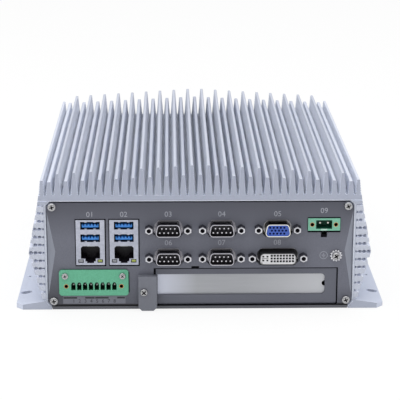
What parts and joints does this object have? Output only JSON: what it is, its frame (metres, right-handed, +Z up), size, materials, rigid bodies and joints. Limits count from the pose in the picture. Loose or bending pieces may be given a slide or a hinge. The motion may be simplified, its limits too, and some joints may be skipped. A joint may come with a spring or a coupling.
{
  "type": "fanless industrial computer",
  "caption": "Fanless industrial computer: finned aluminium heatsink and side walls around a recessed panel of network, USB, serial and video ports, with slotted flanges at the base.",
  "frame": {"origin": "in the middle of the underside, halfway along the body, on the plane it stands on", "axes": "Z up, X to the right when looking at the port panel, the port panel faces -Y"},
  "size_m": [0.2408, 0.2422, 0.0977],
  "materials": {
    "body_alloy": "satin anodised, pale blue-grey",
    "panel_paint": "matt fine-textured dark grey",
    "cover_paint": "matt dark grey",
    "screw_steel": "nickel-plated",
    "tin_plate": "bright tin-plated sheet",
    "slot_steel": "plain stainless sheet",
    "black_plastic": "moulded",
    "tongue_blue": "moulded",
    "port_blue": "moulded",
    "port_white": "moulded",
    "header_green": "moulded",
    "brass": "plain",
    "pin_metal": "plated",
    "lamp_clear": "clear moulded",
    "board": "solder mask",
    "chip": "moulded",
    "spreader_alloy": "milled",
    "bracket_zinc": "zinc-plated sheet",
    "button_steel": "turned stainless"
  },
  "bodies": {
    "case": {"top_heatsink": "body_alloy", "right_side_wall": "body_alloy", "left_side_wall": "body_alloy", "front_panel": "panel_paint", "rear_panel": "panel_paint", "bottom_cover": "cover_paint", "slot_hold_down": "cover_paint", "slot_frame": "cover_paint", "panel_screws": "screw_steel", "heatsink_screws": "screw_steel", "cover_screws": "screw_steel", "jackscrews": "screw_steel", "gpio_screws": "screw_steel", "hold_down_screw": "screw_steel", "earth_washer": "screw_steel", "earth_screw": "screw_steel", "board_screws": "screw_steel", "board_standoffs": "screw_steel", "lan_usb_shell_1": "tin_plate", "lan_usb_shell_2": "tin_plate", "com_shell_1": "tin_plate", "com_shell_2": "tin_plate", "com_shell_3": "tin_plate", "com_shell_4": "tin_plate", "vga_shell": "tin_plate", "dvi_shell": "tin_plate", "slot_blank": "slot_steel", "lan_usb_insert_1": "black_plastic", "lan_usb_insert_2": "black_plastic", "com_housing_1": "black_plastic", "com_housing_2": "black_plastic", "video_housing": "black_plastic", "memory_socket": "black_plastic", "riser_slot": "black_plastic", "usb_tongues_1": "tongue_blue", "usb_tongues_2": "tongue_blue", "vga_insulator": "port_blue", "dvi_insulator": "port_white", "dc_header": "header_green", "gpio_header": "header_green", "dc_inserts": "brass", "gpio_inserts": "brass", "dc_pins": "pin_metal", "gpio_pins": "pin_metal", "com_pins": "pin_metal", "socket_lamps": "lamp_clear", "status_lamps": "lamp_clear", "motherboard": "board", "power_board": "board", "gpio_board": "board", "riser_card": "board", "memory_module": "board", "processor": "chip", "heat_spreader": "spreader_alloy", "drive_bracket": "bracket_zinc", "solid_state_drive": "bracket_zinc", "power_button_bushing": "button_steel", "power_button_nut": "button_steel"},
    "power_button": {"power_button_cap": "button_steel"}
  },
  "joints": [
    {"name": "power_button_press", "type": "slide", "parent": "case", "child": "power_button", "axis": [0, -1, 0], "range_m": [0, 0.0014], "stiffness_N_per_m": 600, "springref_m": -0.002}
  ]
}
